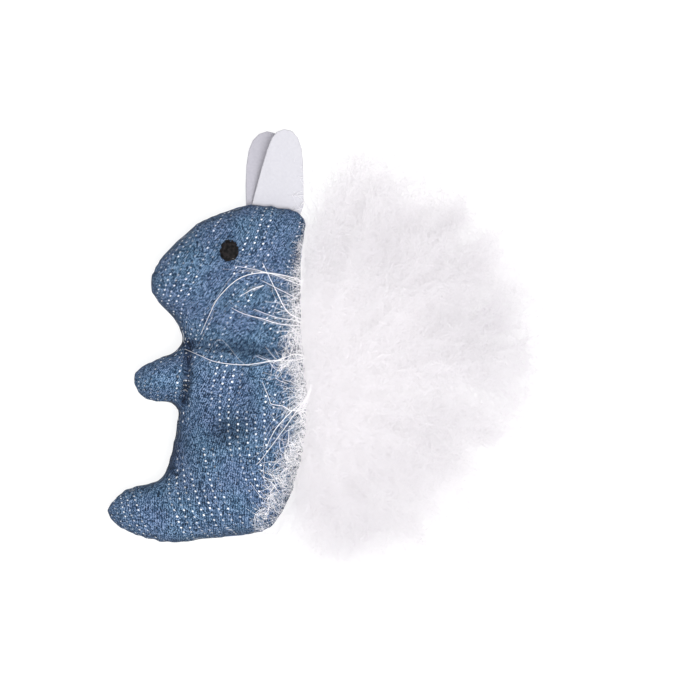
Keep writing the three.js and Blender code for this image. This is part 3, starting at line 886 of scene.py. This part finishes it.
def cloud_place(bearing, share, lift):
    """A place in the cloud, by bearing in degrees, share of the reach, and lift from -1 to 1."""
    angle = math.radians(bearing)
    far = cloud_reach(bearing, share)
    high = CLOUD_THICK * math.sqrt(max(0.06, 1 - share**2.6)) * min(1, 0.55 + share)
    middle = spot(*CLOUD_MIDDLE) + Vector((0, 0, CLOUD_RISE * math.sin(math.pi * min(1, share))))
    return middle + Vector((math.cos(angle) * far, math.sin(angle) * far, lift * high))


def haze(point):
    """How much of the down is left at a place: all of it in the thick part, then less and less."""
    apart = point - spot(*CLOUD_MIDDLE)
    bearing = math.degrees(math.atan2(apart.y, apart.x))
    edge, last = cloud_reach(bearing, 1), cloud_reach(bearing, 1 + HAZE_BAND)
    fading = 0.75 * (last - edge) + 0.5 * MM
    return math.exp(-max(0, apart.xy.length - edge) / fading)


print("cloud from", [round(cloud_place(a, 1, 0).y / MM) for a in (90, -90)], "mm in y")

# %% [markdown]
# ### Single filaments and barbs
# Every strand is a short list of points. A filament wanders, because each step turns a little at
# random. A barb bends from its quill to a goal and has a slight wave. The goals lie near the skin of the
# plume's CAD form and spread through the cloud, so the down fills both. Real filaments are some 0.01 mm
# thick, which is too fine to show here, so they are drawn 0.07 mm thick, and thicker still in the haze.

# %% Draw filaments and barbs
TOP, BOTTOM = 23 * MM, 0.3 * MM
SPINE_STEPS, BARB_STEPS, CURL_STEPS = 14, 6, 2
LIMPNESS = 0.25
# Right of the first pixel there is no cloth, and left of the second no down grows.
CLOTH_ENDS, DOWN_STARTS = 310, 240


def off_cloth(point):
    """Whether a point is clear of the body, so that the down doesn't grow through the cloth."""
    if point.x > spot(CLOTH_ENDS, 0).x:
        return True
    return point.x > spot(DOWN_STARTS, 0).x and cloth_height(*pixel_of(point)) is None


def skin_places(number, count, luck):
    """Places near the skin of a plume's CAD form."""
    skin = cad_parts[f"plume_{number}"].data
    corners = [[skin.vertices[i].co for i in face.vertices] for face in skin.polygons]
    sizes = [(b - a).cross(c - a).length for a, b, c in corners]
    picked = []
    for a, b, c in luck.choices(corners, sizes, k=count):
        u, v = sorted((luck.random(), luck.random()))
        outward = (b - a).cross(c - a).normalized()
        picked.append(a * u + b * (v - u) + c * (1 - v) + outward * luck.uniform(-2.2, 0.8) * MM)
    return picked


def curl(start_point, heading, length, luck):
    """A wandering line, as a limp filament lies."""
    points = [start_point]
    way = heading.normalized()
    turn = Vector((luck.gauss(0, 1), luck.gauss(0, 1), luck.gauss(0, 1))) * LIMPNESS
    for step in range(CURL_STEPS):
        shake = Vector((luck.gauss(0, 1), luck.gauss(0, 1), luck.gauss(0, 1)))
        way = (way + turn + shake * LIMPNESS * 0.5).normalized()
        point = points[-1] + way * (length / CURL_STEPS)
        point.z = min(TOP, max(BOTTOM, point.z))
        points.append(point)
    return points


def barb_to(goal, root, spine, length, ahead, aside, luck):
    """A barb from the quill, or from the seam beside it, to a goal."""
    reach = luck.uniform(12, 24) * MM
    t = ((goal - root).dot(ahead) - reach) / (length * MM)
    if t > 0.01:
        along = min(0.97, t) * SPINE_STEPS
        base = spine[int(along)].lerp(spine[min(SPINE_STEPS, int(along) + 1)], along % 1)
    else:
        base = root + Vector((0, luck.uniform(-7, 7) * MM, luck.uniform(-1, 1) * MM))
    side = math.copysign(1, (goal - base).dot(aside))
    knee = base + ahead * reach * 0.3 + aside * side * reach * 0.25 + Vector((0, 0, (goal.z - base.z) * 0.6))
    wave = [luck.uniform(0, 6.3) for axis in range(3)]
    size = (goal - base).length
    points = []
    for step in range(BARB_STEPS + 1):
        s = step / BARB_STEPS
        point = base * (1 - s) ** 2 + knee * 2 * s * (1 - s) + goal * s * s
        point += Vector([math.sin(wave[axis] + s * (5 + axis)) for axis in range(3)]) * (size * 0.035 * s)
        point.z = min(TOP, max(BOTTOM, point.z))
        points.append(point)
    return points


print("the down stays between", BOTTOM / MM, "and", TOP / MM, "mm")

# %% [markdown]
# ### The down's finish
# Marabou down is feather without colour. Light passes through it and comes out soft and white, so the
# eye sees hardly any shade in it. To scatter that light within the down would take many times as long,
# and a little emission stands for it. Away from the quills the down is thinner, and shade is painted into
# its colour there, a shade greyer tuft by tuft, with painted light that makes it less grey towards the top.

# %% Mix the down
down_finish, tree, surface = start("white_marabou_down")
place = put(tree, "TexCoord").outputs["Object"]
tuft = put(tree, "TexNoise", {"Vector": place, "Scale": 60.0, "Detail": 2.0}).outputs["Fac"]
# Painted shade: greyer away from the quills, painted light near the top, and a random tone for each tuft.
from_quills = put(tree, "VectorMath", {0: place, 1: spot(300, 376)}, operation="DISTANCE").outputs["Value"]
painted_greying_and_tufts = put(tree, "MapRange", {"Value": from_quills, "From Min": 20 * MM, "From Max": 52 * MM}).outputs[0]
from_top = put(tree, "VectorMath", {0: place, 1: spot(345, 180)}, operation="DISTANCE").outputs["Value"]
lighter = {"Value": from_top, "From Min": 7 * MM, "From Max": 22 * MM, "To Min": 0.6}
painted_top_light = put(tree, "MapRange", lighter).outputs[0]
for share in (painted_top_light, tuft):
    painted_greying_and_tufts = put(tree, "Math", {0: painted_greying_and_tufts, 1: share}, operation="MULTIPLY").outputs[0]
whites = {0: painted_greying_and_tufts, 6: linear("#fffdff"), 7: linear("#ebe9ec")}
shade = put(tree, "Mix", whites, data_type="RGBA").outputs[2]
tree.links.new(shade, surface.inputs["Base Color"])
tree.links.new(shade, surface.inputs["Emission Color"])
surface.inputs["Roughness"].default_value = 0.6
surface.inputs["Emission Strength"].default_value = 0.1
print("down:", len(tree.nodes), "nodes")

# %% [markdown]
# ### Six plumes from the seam
# Each plume starts at the tape inside the seam: first its quill, then barbs to its goals, then filaments
# along the barbs. It could be one piece, but two, above and below the quill, keep each under 200,000
# triangles, and the library keeps such pieces whole.

# %% Grow the plumes
# A plume's bearing in degrees, its length in millimetres, the bearing where its share of the cloud
# starts, and the number of filaments that are tried in each half of it.
PLUMES = [
    (70, 52, 104, 12000), (41.5, 57, 56, 9500), (13, 56, 27, 7500), (-15.5, 47, -1, 7000),
    (-44, 43, -30, 5000), (-72.5, 35, -58, 7500),
]
LAST_BEARING = -120
# Loose wisps outside the cloud, one list of pixels for each plume.
WISPS = [
    [(386, 112), (351, 140), (341, 170)], [(466, 152), (442, 168), (503, 184), (537, 228)],
    [(549, 318), (541, 280)], [(547, 392), (520, 440)], [(492, 498), (470, 520)],
    [(415, 556), (350, 566), (300, 560)],
]
BARBS = 340
tape_low, tape_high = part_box("tail_tape")


def grow_plume(number, bearing, length, upper, lower, filaments):
    """One plume: its quill and its down in two pieces, above and below the quill's line."""
    luck = random.Random(100 + number)
    tape_middle = (tape_low.y + tape_high.y) / 2
    root = Vector((tape_high.x + 0.9 * MM, tape_middle + 2.4 * MM * (3.5 - number), SEAM_HEIGHT))
    ahead = Vector((math.cos(math.radians(bearing)), math.sin(math.radians(bearing)), 0))
    aside = Vector((-ahead.y, ahead.x, 0))
    # The quill, bowed a little to one side and upwards.
    spine = []
    for step in range(SPINE_STEPS + 1):
        t = step / SPINE_STEPS
        bow = aside * (math.sin(math.pi * t) * luck.uniform(0.6, 0.9) * (1.5 if number % 2 else -1.5) * MM)
        arch = Vector((0, 0, math.sin(math.pi * t) * 1.2 * MM))
        spine.append(root + ahead * (t * length * MM) + bow + arch)
    # Where the barbs reach to: the skin of the CAD form, the cloud with its haze, and the wisps.
    places = skin_places(number, BARBS, luck)
    for count in range(BARBS):
        share = 1 + HAZE_BAND * luck.random() if count % 4 == 0 else luck.random() ** 0.42
        places.append(cloud_place(luck.uniform(upper + 10, lower - 10), share, luck.uniform(-1, 1)))
    for across, down in WISPS[number - 1] * 3:
        across, down = across + luck.gauss(0, 3), down + luck.gauss(0, 3)
        places.append(spot(across, down, SEAM_HEIGHT + luck.uniform(-3, 3) * MM))
    sides = {"upper": [], "lower": []}
    for goal in places:
        sides["upper" if (goal - root).dot(aside) > 0 else "lower"].append(goal)
    barb_widths = [(0.045 - 0.03 * step / BARB_STEPS) * MM for step in range(BARB_STEPS + 1)]
    spine_widths = [(0.3 - 0.25 * step / SPINE_STEPS) * MM for step in range(SPINE_STEPS + 1)]
    for side, goals in sides.items():
        barbs = [barb_to(goal, root, spine, length, ahead, aside, luck) for goal in goals]
        lines = [(points, barb_widths) for points in barbs]
        if side == "upper":
            lines.append((spine, spine_widths))
        for count in range(filaments):
            points = luck.choice(barbs)
            s = luck.uniform(0.05, 1) ** 0.7 * 5.99
            base = points[int(s)].lerp(points[int(s) + 1], s % 1)
            along = (points[int(s) + 1] - points[int(s)]).normalized()
            spread = Vector((luck.gauss(0, 1), luck.gauss(0, 1), luck.gauss(0, 0.8))).normalized()
            heading = along * luck.uniform(0.1, 0.9) + spread
            points = curl(base, heading, luck.uniform(3, 8) * MM, luck)
            # In the haze fewer filaments are left, and each is drawn wider to stand for more.
            left = haze(points[1])
            if luck.random() < left and all(off_cloth(point) for point in points):
                wide = 1 + 1.3 * (1 - left)
                lines.append((points, [0.036 * MM * wide, 0.032 * MM * wide, 0.01 * MM]))
        piece = strands(f"plume_down_{number}_{side}", lines, down_finish)
        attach(piece, f"plume_{number}")
        if side == "upper":
            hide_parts(f"plume_{number}")
        print(piece.name, sum(len(p.vertices) - 2 for p in piece.data.polygons), "triangles")


for number, (bearing, length, upper, filaments) in enumerate(PLUMES, 1):
    lower = PLUMES[number][2] if number < len(PLUMES) else LAST_BEARING
    grow_plume(number, bearing, length, upper, lower, filaments)

# %% [markdown]
# ## Stray barbs over the body
# Long single barbs lie loosely over the back and the head, each drawn through the places where it shows
# in the picture, a little above the cloth. All along the back short down from the seam laps over the
# edge of the cloth, in locks that cling together and in single filaments. Strands dropped at random
# would miss the places where the picture shows them, so a table gives how far left the down reaches.

# %% Draw the stray barbs
STRAYS = [
    [(304, 356), (294, 354.5), (279.5, 360), (271, 361), (244.7, 364.8), (217, 362), (200.7, 355.7),
     (185, 349)],
    [(306, 358), (296, 360), (279.5, 361), (267, 360), (256.7, 356)],
    [(312, 385), (307.7, 396), (296, 411.7), (283.7, 429.5), (261, 460), (256, 464)],
    [(303, 402), (290, 413), (275.4, 429.5), (266, 448.6)],
    [(306, 408), (298.6, 410), (290, 410), (283.7, 406), (272, 403.8), (269.6, 398.8), (262.9, 382)],
    [(308, 289), (302, 285.6), (268, 273), (234.7, 266)],
    [(305, 284), (296, 278.6), (265.6, 273), (240, 278.6), (219, 298), (209.5, 316), (201, 334.7)],
    [(304, 320), (288, 312), (276, 290), (262.8, 263)],
    [(310, 306), (302, 301), (262.8, 281)],
    [(264, 285.6), (252, 290), (240, 296.8)],
    [(303, 326), (280, 324), (262.8, 319), (244.5, 314), (231.9, 308)],
    [(303, 326), (296.4, 320.7), (278, 318), (254.3, 309.4)],
]


# Beside the body there is no cloth to rest on, so strands lie this far above the seam there.
BESIDE_RISE = 3 * MM


def over_cloth(across, down, lift):
    """A place just above the cloth, or level with its side where it is beyond the edge."""
    ground = cloth_height(across, down)
    return spot(across, down, max(ground or 0, SEAM_HEIGHT + BESIDE_RISE) + lift)


def lay(places, radius):
    """A smooth line just above the cloth through some places, its radius shrinking to the end."""
    points, widths = [], []
    total = len(places) * 4
    for step in range(total):
        s = step / (total - 1) * (len(places) - 1)
        i = min(len(places) - 2, int(s))
        before, after = places[max(0, i - 1)], places[min(len(places) - 1, i + 2)]
        a, b, u = places[i], places[i + 1], s - i
        place = []
        for axis in (0, 1):
            pull_a, pull_b = (b[axis] - before[axis]) / 2, (after[axis] - a[axis]) / 2
            place.append(
                (2 * u**3 - 3 * u * u + 1) * a[axis] + (u**3 - 2 * u * u + u) * pull_a
                + (3 * u * u - 2 * u**3) * b[axis] + (u**3 - u * u) * pull_b
            )
        points.append(over_cloth(*place, (0.35 + 0.5 * math.sin(math.pi * step / total)) * MM))
        widths.append(radius * (1 - 0.75 * (step / total) ** 2))
    return points, widths


luck = random.Random(5)
lines = []
for places in STRAYS:
    lines.append(lay(places, luck.uniform(0.1, 0.16) * MM))
    # Four thinner ones start beside it and drift away.
    for wisp in range(4):
        apart = [(luck.gauss(0, 1.8) * step, luck.gauss(0, 1.8) * step) for step in range(len(places))]
        beside = [(x + dx, y + dy) for (x, y), (dx, dy) in zip(places, apart)]
        lines.append(lay(beside[: luck.randint(2, len(places))], luck.uniform(0.02, 0.04) * MM))
print(len(lines), "long barbs")

# %% Lap short down over the edge
# Places down the picture, and how far left the down reaches there.
LAP = [
    (226, 310), (238, 304), (255, 300), (270, 297), (280, 293), (305, 294), (320, 290), (338, 293),
    (346, 289), (360, 282), (368, 287), (380, 295), (405, 302), (430, 300), (450, 294), (464, 286),
    (480, 276), (505, 267), (520, 262), (532, 257),
]
LOCKS, SHORT_FILAMENTS = 80, 2600
SHORT_WIDTHS = [0.032 * MM, 0.03 * MM, 0.024 * MM, 0.008 * MM]


def lap_edge(down):
    """How far left the short down reaches, with an uneven edge."""
    return between(LAP, down) + 5 * noise.noise(Vector((down / 9, 0, 0)))


# The filaments of a lock start together and lean one way.
for lock in range(LOCKS):
    lock_down = luck.triangular(262, 534, 450)
    lock_across = lap_edge(lock_down) + luck.uniform(0, 10)
    lock_angle, lock_size = luck.uniform(1.8, 4.5), luck.uniform(12, 30)
    lock_bow = luck.uniform(-1.3, 1.3)
    for count in range(luck.randint(2, 6)):
        across, down = lock_across + luck.gauss(0, 3), lock_down + luck.gauss(0, 4)
        angle, size = lock_angle + luck.gauss(0, 0.2), lock_size * luck.uniform(0.5, 1.2)
        bow = lock_bow + luck.gauss(0, 0.3)
        places = [
            (across, down),
            (across + size * 0.5 * math.cos(angle), down - size * 0.5 * math.sin(angle)),
            (across + size * math.cos(angle + bow), down - size * math.sin(angle + bow)),
        ]
        lines.append(lay(places, luck.uniform(0.03, 0.065) * MM))
for count in range(SHORT_FILAMENTS):
    down = luck.uniform(228, 536)
    edge = lap_edge(down)
    across = edge + 1 + luck.random() ** 0.8 * (luck.uniform(306, 346) - edge)
    angle, size = luck.gauss(math.pi, 1.0), luck.uniform(6, 25)
    places = []
    for step in range(len(SHORT_WIDTHS)):
        nearer = max(across, edge - luck.uniform(0, 12))
        places.append(over_cloth(nearer, down, (0.3 + step * luck.uniform(0, 0.5)) * MM))
        across += size / 3 * math.cos(angle)
        down -= size / 3 * math.sin(angle)
        angle += luck.gauss(0, 0.35)
    lines.append((places, SHORT_WIDTHS))
strays = strands("stray_barbs", lines, down_finish)
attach(strays, "toy")
print("strays:", sum(len(p.vertices) - 2 for p in strays.data.polygons), "triangles")
